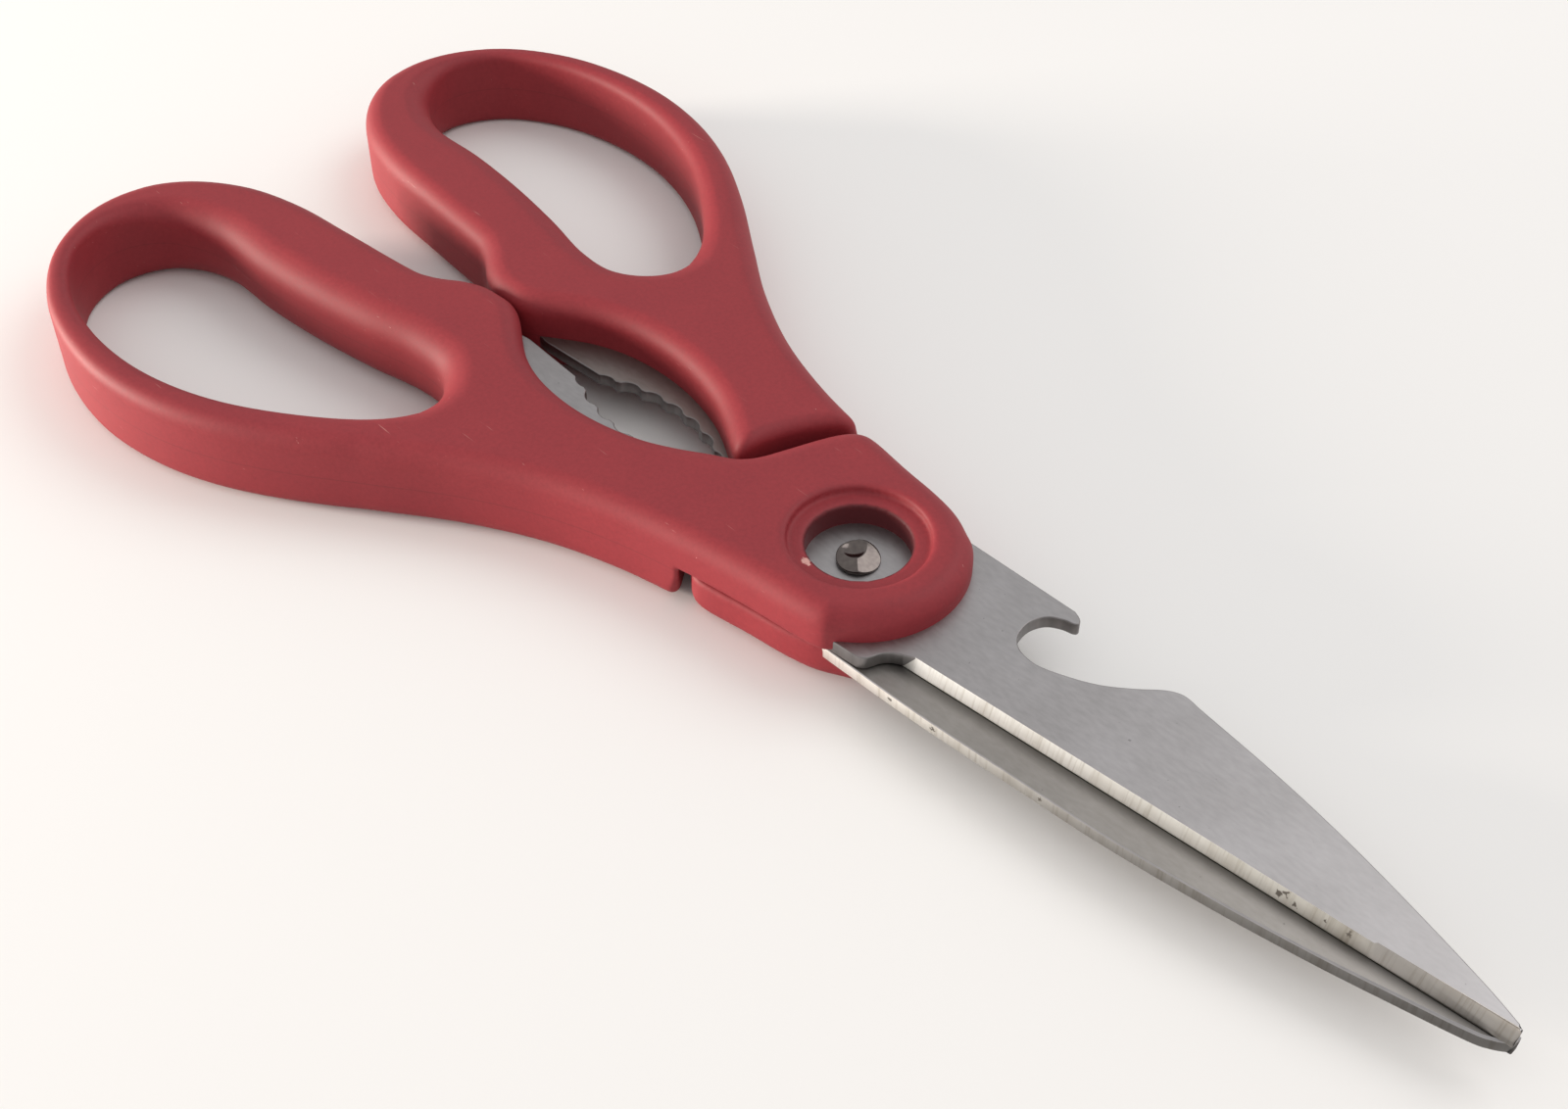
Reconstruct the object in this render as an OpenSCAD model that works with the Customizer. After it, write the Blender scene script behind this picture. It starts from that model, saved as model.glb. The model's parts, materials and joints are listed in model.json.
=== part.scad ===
// Kitchen shears with a nutcracker jaw and a bottle opener.
// Two stainless plates cross at one riveted pivot, and each is moulded into a plastic loop handle.
// X runs along the shears to the tips, Y across the blades, Z up. The origin is the middle of the underside.

/* [Handles] */
// Thickness of the handles
handle_t = 12; // [12:0.5:13]
// Radius of the pivot boss
boss_r = 13.7; // [13.5:0.1:14]
// Radius of the step that the other boss turns inside
step_r = 21.5; // [21.2:0.1:22]
// Radius of the rounded edges of the handles
edge_r = 3; // [1:0.1:3.2]

/* [Pivot] */
// Radius of the well around the rivet
well_r = 6.5; // [5:0.1:7]
// Radius of the dished mouth of the well
mouth_r = 8.7; // [8:0.1:10]
// Depth of the dished mouth
mouth_depth = 1.1; // [0.5:0.1:2]
// Radius of the rivet shank
shank_r = 2; // [1.5:0.1:2.4]
// Running clearance between the shank and the blade that turns on it
shank_fit = 0.05; // [0.02:0.01:0.1]
// Radius of the staked head
head_r = 2.7; // [2.5:0.1:3.5]
// Radius of the factory head
foot_r = 3.2; // [2.5:0.1:4]
// Height of either rivet head
head_h = 1; // [0.6:0.1:1.5]

/* [Blades] */
// Thickness of each blade plate
blade_t = 1.8; // [1.5:0.1:2]
// Gap between the two blade plates
blade_gap = 0.1; // [0.05:0.01:0.2]
// Distance from the pivot to the tips
tip_x = 90.8; // [88:0.1:93]
// Width of the ground bevel
bevel_w = 0.6; // [0.3:0.1:1]
// Width of the second grind near the tip
tip_bevel_w = 1.2; // [0.8:0.1:1.6]
// Where the second grind begins
tip_bevel_x = 75; // [60:1:80]

/* [Nutcracker] */
// Number of scallops in each jaw
scallops = 7; // [5:1:7]
// Distance between scallops
scallop_pitch = 3.5; // [3:0.1:3.5]
// Radius of each scallop
scallop_r = 2.2; // [2:0.1:2.6]
// Radius of the jaw's hollow
jaw_r = 24; // [22:1:28]
// Height of the jaw's hollow above the centre line
jaw_h = 4.6; // [4:0.1:5]
// Middle of the jaw
jaw_x = -38; // [-40:1:-36]

/* [Hidden] */
$fn = 64;
steel = "#a19da0";
dark_steel = "#5c595c";
red = "#a8474b";
mid_z = handle_t / 2;
plate_top = mid_z - blade_gap / 2;
plate_z = plate_top - blade_t;
over = 0.5;
edge_land = 0.05;
back_x = 123.9;
pivot_x = (back_x - tip_x) / 2;

// A point on the smooth curve between b and c; a and d are their neighbours
function curve_at(a, b, c, d, t) =
    b + (c - a) * t / 2 + (2 * a - 5 * b + 4 * c - d) * t * t / 2 + (3 * b - a - 3 * c + d) * t * t * t / 2;

// A smooth closed loop through the points, with n steps between neighbours
function smooth_loop(p, n) = [
    for (i = [0:len(p) - 1])
        for (k = [0:n - 1])
            curve_at(p[(i + len(p) - 1) % len(p)], p[i], p[(i + 1) % len(p)], p[(i + 2) % len(p)], k / n)
];

// A smooth open run through the points, without the last one
function smooth_run(p, n) = [
    for (i = [0:len(p) - 2])
        for (k = [0:n - 1])
            curve_at(p[max(i - 1, 0)], p[i], p[i + 1], p[min(i + 2, len(p) - 1)], k / n)
];

// Points on a circle about the middle m
function arc(m, r, from, to, steps) = [
    for (i = [0:steps]) m + r * [cos(from + (to - from) * i / steps), sin(from + (to - from) * i / steps)]
];

// Outside of the loop, from the boss round to the inner side of the arm
loop_outside = [
    [7.4, 11.8], [5.4, 13], [-5, 14.2], [-14, 15.6], [-24, 17.8], [-34, 21.3], [-44, 26.7], [-53, 33],
    [-62, 39.3], [-71, 44.5], [-80, 47.8], [-90, 49.2], [-100, 48.2], [-109, 45.2], [-117, 39.6],
    [-122.4, 31.5], [-123.8, 23], [-120.3, 15.8], [-113, 10.3], [-104, 7.5], [-94, 6.4], [-84, 5.5], [-79, 4.9]
];
// Inner side of the arm: the ramp to the stop, the stop itself and the side of the jaw
arm_inside = [
    [-79, 4.9], [-76.2, 3.6], [-73.5, 1.7], [-70.5, 0.4], [-67.5, 0.08], [-65, 0.1], [-62.5, 1.2], [-59, 3.6],
    [-55, 5.9], [-50, 7.5], [-44, 8.1], [-38, 7.6], [-32, 6], [-27.5, 3.8], [-24, 1.6], [-21.4, 0.2]
];
// Back edge of the boss, down to its far corner, and its far side
boss_back = [
    [-21.4, 0.2], [-19.8, -1.8], [-18.4, -5.5], [-17, -9.5], [-15.6, -12.6], [-14, -14.4],
    [-11.6, -15], [-5, -14], [0.5, -13.3], [4.8, -12.3], [8, -10.7]
];
// Finger hole
finger_hole = [
    [-107.3, 19.8], [-97, 19.6], [-87, 18.7], [-77, 17.1], [-68, 15.2], [-61, 15.6], [-56.5, 20.3], [-58, 27.2],
    [-65, 34.1], [-75, 40.4], [-86, 44], [-97, 44.6], [-107.3, 42.4], [-115.5, 37.2], [-118.6, 30], [-115.5, 23.4]
];
handle_outline = concat(
    smooth_run(loop_outside, 4), smooth_run(arm_inside, 4), smooth_run(boss_back, 4),
    arc([0, 0], boss_r, -48, 54, 20)
);

// The tang side of either plate, from the heel back along the arm and round to the far side of the boss
tang = [
    [-1, 12.2], [-16, 13.6], [-28, 15.4], [-40, 17], [-50, 15.6], [-58, 12.4], [-63.5, 9],
    [-64.5, 6], [-63.8, 3], [-62.5, 1.5], [-60.5, 1.3], [-26, 1.3], [-22, 1.6], [-19, -0.5], [-17, -5],
    [-15, -9.5], [-13, -12.4], [-11, -13]
];
// Edge of the upper blade: the flat back, the bottle opener and the long nose
upper_nose = concat(
    [[0, -12], [22.8, -12.2]],
    smooth_run([[23.6, -12.2], [24.7, -11.7], [25.2, -11], [24.8, -10.5], [23.4, -10.1], [21.9, -9.1],
        [21.1, -7.3], [21.2, -5.4], [21.9, -3.9], [23.4, -2.8], [26, -2.5], [29.5, -3.6], [33, -5.3],
        [36, -7.6], [38.5, -9.9], [40, -10.75], [41.2, -10.9], [43, -10.6]], 4),
    [[55, -8.9], [65, -7], [75, -4.6], [85, -1.9], [tip_x - 0.6, -0.2], [tip_x, 0.5], [tip_x, 1.4]]
);
upper_heel = concat(
    smooth_run([[14.6, 7.4], [13.4, 8.1], [12.6, 9.1], [12.2, 10.2], [11.8, 11], [11, 11.5]], 3),
    [[11, 11.5], [4, 12]]
);
// Edge of the lower blade: one long bowed spine
lower_nose = concat(
    [[0, -11.8]],
    smooth_run([[7, -11.8], [20, -11.5], [33, -10.7], [46, -9.8], [58, -8.3], [70, -6.3], [80, -4.2],
        [87, -2.6], [89, -1.8], [tip_x - 0.7, -1.1]], 4),
    [[tip_x - 0.7, -1.1], [tip_x - 0.2, -0.6], [tip_x, 0]]
);
lower_heel = [[14.5, 3.6], [13, 6], [12.2, 9], [11.5, 11.5], [6, 12]];

function slope(a, b) = atan2(b[1] - a[1], b[0] - a[0]);

// Each half is drawn about the pivot, with its tang at +Y and its mating face up; the upper half is turned over
module lower_half() {
    translate([pivot_x, 0, 0])
        children();
}

module upper_half() {
    translate([pivot_x, 0, handle_t])
        rotate([180, 0, 0])
            children();
}

module plate_outline(nose, heel) {
    polygon(concat(tang, nose, heel));
}

module jaw_cut() {
    translate([jaw_x, jaw_h - jaw_r, plate_z - over])
        cylinder(r = jaw_r, h = blade_t + 2 * over, $fn = 96);
    for (i = [0:scallops - 1]) {
        a = (i - (scallops - 1) / 2) * scallop_pitch;
        y = sqrt(jaw_r * jaw_r - a * a) + jaw_h - jaw_r;
        translate([jaw_x + a, y - scallop_r + 0.5, plate_z - over])
            cylinder(r = scallop_r, h = blade_t + 2 * over, $fn = 32);
    }
}

// Windows in the tang that the plastic locks through
module tang_windows() {
    for (p = [[-30, 10, 2], [-44, 12.4, 2], [-59.5, 6.8, 1.6]])
        translate([p[0], p[1], plate_z - over])
            cylinder(r = p[2], h = blade_t + 2 * over, $fn = 32);
}

// Wedge that grinds the edge from a to b, starting s along it, w wide on the outer face
module grind(a, b, s, w) {
    translate([a[0], a[1], 0])
        rotate([0, 0, slope(a, b)])
            translate([s, 0, plate_top - edge_land])
                rotate([90, 0, 90])
                    linear_extrude(norm(b - a) + 4 - s)
                        polygon([[0, 0], [-w, edge_land - blade_t], [-w, -blade_t - 1], [3, -blade_t - 1], [3, 0]]);
}

module plate(nose, heel, edge_tip, bore) {
    edge = heel[0];
    tip_grind = norm(edge_tip - edge) * (tip_bevel_x - edge[0]) / (edge_tip[0] - edge[0]);
    difference() {
        translate([0, 0, plate_z])
            linear_extrude(blade_t)
                plate_outline(nose, heel);
        jaw_cut();
        tang_windows();
        grind(edge, edge_tip, 0.5, bevel_w);
        grind(edge, edge_tip, tip_grind, tip_bevel_w);
        translate([0, 0, plate_z - over])
            cylinder(r = bore, h = blade_t + 2 * over);
    }
}

// The space that a plate fills inside its handle
module plate_space(nose, heel) {
    difference() {
        translate([0, 0, plate_z])
            linear_extrude(blade_t)
                plate_outline(nose, heel);
        jaw_cut();
        tang_windows();
    }
}

// The handle's outline with its finger hole, inset all round, from z up to the same height below its top
module handle_layer(z, inset) {
    translate([0, 0, z])
        linear_extrude(handle_t - 2 * z)
            difference() {
                offset(delta = -inset)
                    polygon(handle_outline);
                offset(delta = inset)
                    polygon(smooth_loop(finger_hole, 5));
            }
}

module well() {
    translate([0, 0, -over])
        cylinder(r = well_r, h = plate_z + over);
    translate([0, 0, -0.01])
        cylinder(r1 = mouth_r, r2 = well_r + 0.6, h = mouth_depth);
}

module handle(nose, heel) {
    difference() {
        union() {
            handle_layer(0, 0.6 * edge_r);
            handle_layer(0.25 * edge_r, 0.22 * edge_r);
            handle_layer(0.65 * edge_r, 0);
        }
        translate([0, 0, plate_top])
            cylinder(r = step_r, h = handle_t, $fn = 128);
        plate_space(nose, heel);
        well();
    }
}

module upper_blade() {
    color(steel)
        upper_half()
            plate(upper_nose, upper_heel, [tip_x, 1.4], shank_r + shank_fit);
}

module lower_blade() {
    color(steel)
        lower_half()
            plate(lower_nose, lower_heel, [tip_x, 0.4], shank_r);
}

module left_handle() {
    color(red)
        upper_half()
            handle(upper_nose, upper_heel);
}

module right_handle() {
    color(red)
        lower_half()
            handle(lower_nose, lower_heel);
}

// Shank with the factory head below and the staked head above, both low domes
module pivot_rivet() {
    head_z = handle_t - plate_z + 0.05;
    color(dark_steel)
        lower_half()
            rotate_extrude($fn = 48)
                polygon([
                    [0, plate_z - head_h], [0.6 * foot_r, plate_z - head_h], [0.9 * foot_r, plate_z - 0.7 * head_h],
                    [foot_r, plate_z - 0.3 * head_h], [foot_r, plate_z], [shank_r, plate_z], [shank_r, head_z],
                    [head_r, head_z], [head_r, head_z + 0.3 * head_h], [0.88 * head_r, head_z + 0.7 * head_h],
                    [0.55 * head_r, head_z + head_h], [0, head_z + head_h]
                ]);
}

upper_blade();
lower_blade();
left_handle();
right_handle();
pivot_rivet();
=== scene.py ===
# %% [markdown]
# # Kitchen shears, from frame to picture
# These are moulded-handle kitchen shears: two stamped stainless blades cross at one staked rivet, and a red
# plastic loop handle is moulded round each blade's tang. Between the arms is a scalloped nutcracker jaw, and
# the back of the upper blade has a notch that lifts bottle caps.
# The measured solids are loaded first. They say where everything is and how it moves, and the pieces made
# below take their places from them.

# %% Load the frame
import json
import math
import bpy
import numpy as np
from mathutils import Matrix, Vector, kdtree
from mathutils.geometry import tessellate_polygon


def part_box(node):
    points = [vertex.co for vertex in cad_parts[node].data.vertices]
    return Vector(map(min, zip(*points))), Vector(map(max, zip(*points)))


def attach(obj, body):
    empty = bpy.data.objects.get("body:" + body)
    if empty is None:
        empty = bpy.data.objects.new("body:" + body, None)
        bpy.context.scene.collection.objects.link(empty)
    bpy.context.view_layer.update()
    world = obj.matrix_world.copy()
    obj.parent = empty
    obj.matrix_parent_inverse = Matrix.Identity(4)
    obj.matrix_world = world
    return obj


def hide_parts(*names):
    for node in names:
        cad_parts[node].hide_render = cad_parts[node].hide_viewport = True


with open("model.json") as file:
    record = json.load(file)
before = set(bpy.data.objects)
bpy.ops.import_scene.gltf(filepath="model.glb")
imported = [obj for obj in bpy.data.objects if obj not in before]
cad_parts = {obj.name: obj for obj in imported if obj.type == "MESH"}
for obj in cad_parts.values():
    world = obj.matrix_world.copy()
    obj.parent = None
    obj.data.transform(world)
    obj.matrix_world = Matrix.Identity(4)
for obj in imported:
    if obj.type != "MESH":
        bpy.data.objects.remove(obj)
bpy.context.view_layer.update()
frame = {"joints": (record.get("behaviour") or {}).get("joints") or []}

# %% [markdown]
# ## Working in millimetres
# Shears are drawn in millimetres and Blender's units are metres, so every shape is drawn in millimetres
# round the rivet and turned into metres once, when its mesh is made. Both halves use the same drawing
# position: tang towards +Y, mating face up. The upper half is then turned over about the X axis, as the real
# one is.

# %% Sizes taken from the frame
MM = 0.001


def cad_range(name, axis):
    """Lowest and highest place of a CAD node along an axis, in millimetres."""
    low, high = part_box(name)
    return low[axis] / MM, high[axis] / MM


pivot_x = frame["joints"][0]["pos_m"][0] / MM
handle_t = cad_range("right_handle", 2)[1]
plate_z, plate_top = cad_range("lower_blade", 2)
tip_x = cad_range("lower_blade", 0)[1] - pivot_x
print(f"pivot at x {pivot_x:.2f}, handles {handle_t:.1f} thick")
print(f"plate {plate_z:.2f} to {plate_top:.2f}, tips {tip_x:.1f} past the pivot")


def place(points, upper):
    """Drawing position in millimetres to the object's own frame in metres."""
    p = np.array(points, float)
    if upper:
        p = p * [1, -1, -1] + [0, 0, handle_t]
    return (p + [pivot_x, 0, 0]) * MM


# %% [markdown]
# ## Smooth outlines from a few points
# Moulded and stamped outlines are drawn through a few given points, with a curve that passes through all of
# them. The Catmull-Rom rule does that, and it needs no handles to look after.

# %% Curve helpers
def curve(points, steps, closed=False):
    """A smooth curve through the points. An open run leaves out its last point, so that runs join."""
    p = np.array(points, float)
    n = len(p)
    i = np.arange(n if closed else n - 1)
    a, b, c, d = (p[(i + k) % n if closed else np.clip(i + k, 0, n - 1)][:, None] for k in (-1, 0, 1, 2))
    t = (np.arange(steps) / steps)[None, :, None]
    bend = (c - a) * t + (2 * a - 5 * b + 4 * c - d) * t**2 + (3 * b - a - 3 * c + d) * t**3
    return (b + bend / 2).reshape(-1, 2)


def arc(middle, radius, start, end, steps):
    """Points on a circle, from one angle to another in degrees."""
    angle = np.radians(np.linspace(start, end, steps + 1))
    return np.array(middle) + radius * np.stack([np.cos(angle), np.sin(angle)], 1)


def evened(loop, spacing, smoothing):
    """The closed loop with points at an even spacing, and its small kinks smoothed out."""
    ends = np.vstack([loop, loop[:1]])
    run = np.concatenate([[0], np.cumsum(np.linalg.norm(np.diff(ends, axis=0), axis=1))])
    at = np.linspace(0, run[-1], int(run[-1] / spacing), endpoint=False)
    loop = np.stack([np.interp(at, run, ends[:, k]) for k in (0, 1)], 1)
    for _ in range(smoothing):
        loop = (np.roll(loop, 1, 0) + 2 * loop + np.roll(loop, -1, 0)) / 4
    return loop


# %% Outline of a handle
boss_r = 13.7
loop_outside = [
    [7.4, 11.8], [5.4, 13], [-5, 14.2], [-14, 15.6], [-24, 17.8], [-34, 21.3], [-44, 26.7], [-53, 33],
    [-62, 39.3], [-71, 44.5], [-80, 47.8], [-90, 49.2], [-100, 48.2], [-109, 45.2], [-117, 39.6],
    [-122.4, 31.5], [-123.8, 23], [-120.3, 15.8], [-113, 10.3], [-104, 7.5], [-94, 6.4], [-84, 5.5],
    [-79, 4.9]]
arm_inside = [
    [-79, 4.9], [-76.2, 3.6], [-73.5, 1.7], [-70.5, 0.4], [-67.5, 0.08], [-65, 0.1], [-62.5, 1.2], [-59, 3.6],
    [-55, 5.9], [-50, 7.5], [-44, 8.1], [-38, 7.6], [-32, 6], [-27.5, 3.8], [-24, 1.6], [-21.4, 0.2]]
boss_back = [
    [-21.4, 0.2], [-19.8, -1.8], [-18.4, -5.5], [-17, -9.5], [-15.6, -12.6], [-14, -14.4],
    [-11.6, -15], [-5, -14], [0.5, -13.3], [4.8, -12.3], [8, -10.7]]
finger_hole = [
    [-107.3, 19.8], [-97, 19.6], [-87, 18.7], [-77, 17.1], [-68, 15.2], [-61, 15.6], [-56.5, 20.3],
    [-58, 27.2], [-65, 34.1], [-75, 40.4], [-86, 44], [-97, 44.6], [-107.3, 42.4], [-115.5, 37.2],
    [-118.6, 30], [-115.5, 23.4]]
CURVE_STEPS = 12
OUTLINE_STEP = 0.4
SMOOTHING = 4
runs = [curve(run, CURVE_STEPS) for run in (loop_outside, arm_inside, boss_back)]
boss_front = arc([0, 0], boss_r, -48, 54, 30)
handle_outline = evened(np.vstack(runs + [boss_front]), OUTLINE_STEP, SMOOTHING)
hole_outline = evened(curve(finger_hole, CURVE_STEPS, closed=True), OUTLINE_STEP, SMOOTHING)
print(f"handle outline {len(handle_outline)} points, finger hole {len(hole_outline)}")

# %% [markdown]
# ## A moulded handle as a distance field
# The real handle is polypropylene injected round the blade's tang. Nothing on it is sharp: the outline, the
# finger hole, the step that the other boss turns in and the well round the rivet all run into each other
# with soft edges. Bevels and booleans break on edges like these, so the solid is written as one function
# that gives the distance to its surface, where a rounded edge is a few terms of arithmetic. A mesh is then
# drawn on the places where the distance is zero.

# %% Distance to an outline
TINY = 1e-6


class Outline:
    """Distance to an anticlockwise outline, negative inside, and the way straight out of it."""

    def __init__(self, points):
        self.start = points
        self.along = np.roll(points, -1, 0) - points
        self.long2 = (self.along**2).sum(1)
        right = np.stack([self.along[:, 1], -self.along[:, 0]], 1) / np.sqrt(self.long2)[:, None]
        self.out = right + np.roll(right, 1, 0)
        self.out /= np.linalg.norm(self.out, axis=1)[:, None]
        self.tree = kdtree.KDTree(len(points))
        for i, (x, y) in enumerate(points):
            self.tree.insert((x, y, 0), i)
        self.tree.balance()

    def distance(self, xy):
        near = np.array([self.tree.find((x, y, 0))[1] for x, y in xy])
        best = np.full(len(xy), np.inf)
        gap = np.zeros((len(xy), 2))
        for i in (near, (near - 1) % len(self.start)):
            t = np.clip(((xy - self.start[i]) * self.along[i]).sum(1) / self.long2[i], 0, 1)
            g = xy - self.start[i] - t[:, None] * self.along[i]
            closer = (g**2).sum(1) < best
            best[closer] = (g**2).sum(1)[closer]
            gap[closer] = g[closer]
        side = np.where((gap * self.out[near]).sum(1) < 0, -1.0, 1.0)
        size = np.sqrt(best)
        straight = side[:, None] * gap / np.maximum(size, TINY)[:, None]
        return side * size, np.where(size[:, None] > TINY, straight, self.out[near])


outside = Outline(handle_outline)
hole = Outline(hole_outline)

# %% Radii of the handle's soft edges
# All the way round the outside, fuller in the finger hole, and never more than a share of the wall.
EDGE_R, GRIP_EDGE_R, EDGE_SHARE = 2.8, 4.2, 0.4
# The step that the other half's boss turns in, softer at its top than at its foot.
STEP_R, STEP_H, STEP_TOP_R, STEP_FOOT_R = 21.5, 3.5, 1.7, 0.7
MATING_GAP = 0.1
# The well round the rivet, its bore's reach below the plate, its wider mouth and the mouth's lip.
WELL_R, BORE_REACH = 6.5, 0.3
MOUTH_R, MOUTH_DEPTH, MOUTH_FOOT_R, BORE_RIM_R, LIP_R = 8.7, 1.1, 0.4, 0.05, 0.55


def rounded_both(a, b, r):
    """Inside both a and b, with the edge where they meet rounded to r."""
    return np.minimum(np.maximum(a, b), -r) + np.hypot(np.maximum(a + r, 0), np.maximum(b + r, 0))


def rounded_either(a, b, r):
    """Inside a or b, with the inner corner where they meet filled to r."""
    return -rounded_both(-a, -b, r)


def handle_field(outer, inner, rho, z):
    """Distance to the handle, from those to its outline, its hole and the pivot's axis, and the height."""
    ring = np.maximum(outer, -inner)
    grip = np.clip(0.5 + (np.abs(outer) - np.abs(inner)) / 4, 0, 1)
    wall = np.abs(outer) + np.abs(inner)
    r = np.minimum(EDGE_R + (GRIP_EDGE_R - EDGE_R) * grip, EDGE_SHARE * wall)
    slab = np.abs(z - handle_t / 2) - handle_t / 2
    body = rounded_both(ring, slab, r)
    floor = z - (plate_top - MATING_GAP)
    rise = np.clip(floor / STEP_H, 0, 1)
    step = np.minimum(STEP_R - rho, floor)
    body = rounded_both(body, step, STEP_FOOT_R + (STEP_TOP_R - STEP_FOOT_R) * rise**2)
    bore = np.maximum(rho - WELL_R, z - plate_z - BORE_REACH)
    mouth = rounded_both(rho - MOUTH_R, z - MOUTH_DEPTH, MOUTH_FOOT_R)
    return rounded_both(body, -rounded_either(bore, mouth, BORE_RIM_R), LIP_R)


# %% Mesh on the zero of a field
def surface_net(values, low, step):
    """Vertices and four-sided faces where a grid of distances changes sign."""
    inside = values < 0
    total = np.zeros([s - 1 for s in values.shape] + [3])
    count = np.zeros([s - 1 for s in values.shape])
    faces = []
    corner = [slice(None, -1), slice(1, None)]
    for axis in range(3):
        others = [k for k in range(3) if k != axis]
        for i in (0, 1):
            for j in (0, 1):
                pick = [None] * 3
                pick[others[0]], pick[others[1]] = corner[i], corner[j]
                first, last = list(pick), list(pick)
                first[axis], last[axis] = corner[0], corner[1]
                a, b = values[tuple(first)], values[tuple(last)]
                cross = (a < 0) != (b < 0)
                t = np.where(cross, a / np.where(cross, a - b, 1), 0)
                total[..., axis] += np.where(cross, t, 0)
                total[..., others[0]] += np.where(cross, i, 0)
                total[..., others[1]] += np.where(cross, j, 0)
                count += cross
    used = count > 0
    number = np.full(used.shape, -1)
    number[used] = np.arange(used.sum())
    cell = np.argwhere(used)
    points = low + (cell + total[used] / count[used][:, None]) * step
    for axis in range(3):
        o1, o2 = [(1, 2), (2, 0), (0, 1)][axis]
        first, last = [slice(None)] * 3, [slice(None)] * 3
        first[axis], last[axis] = slice(None, -1), slice(1, None)
        change = inside[tuple(first)].astype(int) - inside[tuple(last)].astype(int)
        at = np.argwhere(change != 0)
        at = at[(at[:, o1] > 0) & (at[:, o2] > 0)]
        sign = change[tuple(at.T)]
        e1, e2 = np.eye(3, dtype=int)[o1], np.eye(3, dtype=int)[o2]
        quad = np.stack([number[tuple((at - s).T)] for s in (e1 + e2, e2, 0 * e1, e1)], 1)
        quad[sign < 0] = quad[sign < 0][:, ::-1]
        faces.append(quad)
    return points, np.vstack(faces)


NUDGE = 1e-4
LONGEST_MOVE = 0.3


def settle(points, rounds):
    """Moves each vertex straight onto the handle's surface."""
    for _ in range(rounds):
        outer, outer_way = outside.distance(points[:, :2])
        inner, inner_way = hole.distance(points[:, :2])
        rho = np.maximum(np.linalg.norm(points[:, :2], axis=1), TINY)
        level_ways = (outer_way, inner_way, points[:, :2] / rho[:, None])
        ways = [np.pad(way, ((0, 0), (0, 1))) for way in level_ways] + [np.array([[0, 0, 1.0]])]
        given = [outer, inner, rho, points[:, 2]]
        slope = 0
        for k, way in enumerate(ways):
            more, less = list(given), list(given)
            more[k], less[k] = given[k] + NUDGE, given[k] - NUDGE
            slope = slope + ((handle_field(*more) - handle_field(*less)) / (2 * NUDGE))[:, None] * way
        size = np.maximum((slope**2).sum(1), 0.25)
        move = -(handle_field(*given) / size)[:, None] * slope
        points = points + np.clip(move, -LONGEST_MOVE, LONGEST_MOVE)
    return points


# %% Draw one handle
GRID = 0.42
ROOM = np.array([1, 1, 1.5 * GRID])
low = np.array([*handle_outline.min(0), 0]) - ROOM
high = np.array([*handle_outline.max(0), handle_t]) + ROOM
axes = [np.arange(low[k], high[k] + GRID, GRID) for k in range(3)]
flat = np.stack(np.meshgrid(axes[0], axes[1], indexing="ij"), -1).reshape(-1, 2)
shape = (len(axes[0]), len(axes[1]), 1)
values = handle_field(
    outside.distance(flat)[0].reshape(shape), hole.distance(flat)[0].reshape(shape),
    np.linalg.norm(flat, axis=1).reshape(shape), axes[2][None, None, :])
handle_points, handle_faces = surface_net(values, low, GRID)
handle_points = settle(handle_points, 3)
print(f"one handle: {len(handle_points)} vertices, {len(handle_faces)} faces")

# %% [markdown]
# ## Pieces as plain meshes
# Each finished piece is a mesh in the object's own frame, with its object at the origin. It rides on the body
# that it moves with, and it stands for one measured solid, which stays in the physics model.

# %% Make and hand over a piece
def make_mesh(name, points, faces, materials, upper, kinds=None, flat=None):
    """A mesh object from drawing positions.

    kinds picks a material for each face, and flat marks the faces that aren't smoothed.
    """
    mesh = bpy.data.meshes.new(name)
    mesh.from_pydata(place(points, upper).tolist(), [], [list(map(int, f)) for f in faces])
    for material in materials:
        mesh.materials.append(material)
    mesh.polygons.foreach_set("use_smooth", np.ones(len(faces), bool) if flat is None else ~np.array(flat))
    if kinds is not None:
        mesh.polygons.foreach_set("material_index", np.array(kinds, np.int32))
    mesh.validate()
    mesh.update()
    piece = bpy.data.objects.new(name, mesh)
    bpy.context.scene.collection.objects.link(piece)
    return piece


def hand_over(piece, node, body):
    """The piece stands for a CAD node, whose solid is hidden, and moves with its body."""
    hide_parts(node)
    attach(piece, body)
    triangles = sum(len(p.vertices) - 2 for p in piece.data.polygons)
    print(f"{piece.name}: {triangles} triangles on {body}")


# %% [markdown]
# ## Colours and node trees
# Colours are picked as sRGB hex values, because that is what a colour picker shows, and shaders work in
# linear light. One function converts them. Another adds a node with its settings and links, so that a
# material reads as a short list.

# %% Colour and node helpers
def srgb(value):
    """An sRGB hex colour as linear RGBA."""
    parts = [int(value[i:i + 2], 16) / 255 for i in (1, 3, 5)]
    return [p / 12.92 if p <= 0.04045 else ((p + 0.055) / 1.055)**2.4 for p in parts] + [1.0]


def add(tree, kind, inputs=None, stops=(), **settings):
    """A node with its settings and links. A colour ramp also takes its stops, as (place, sRGB hex).

    An input that is given a socket is linked to it, and any other is given its value.
    """
    made = tree.nodes.new(kind)
    for name, value in settings.items():
        setattr(made, name, value)
    for name, value in (inputs or {}).items():
        if isinstance(value, bpy.types.NodeSocket):
            tree.links.new(value, made.inputs[name])
        else:
            made.inputs[name].default_value = value
    if stops:
        elements = made.color_ramp.elements
        while len(elements) < len(stops):
            elements.new(0.5)
        for element, (at, colour) in zip(elements, stops):
            element.position = at
            element.color = srgb(colour)
    return made


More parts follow.
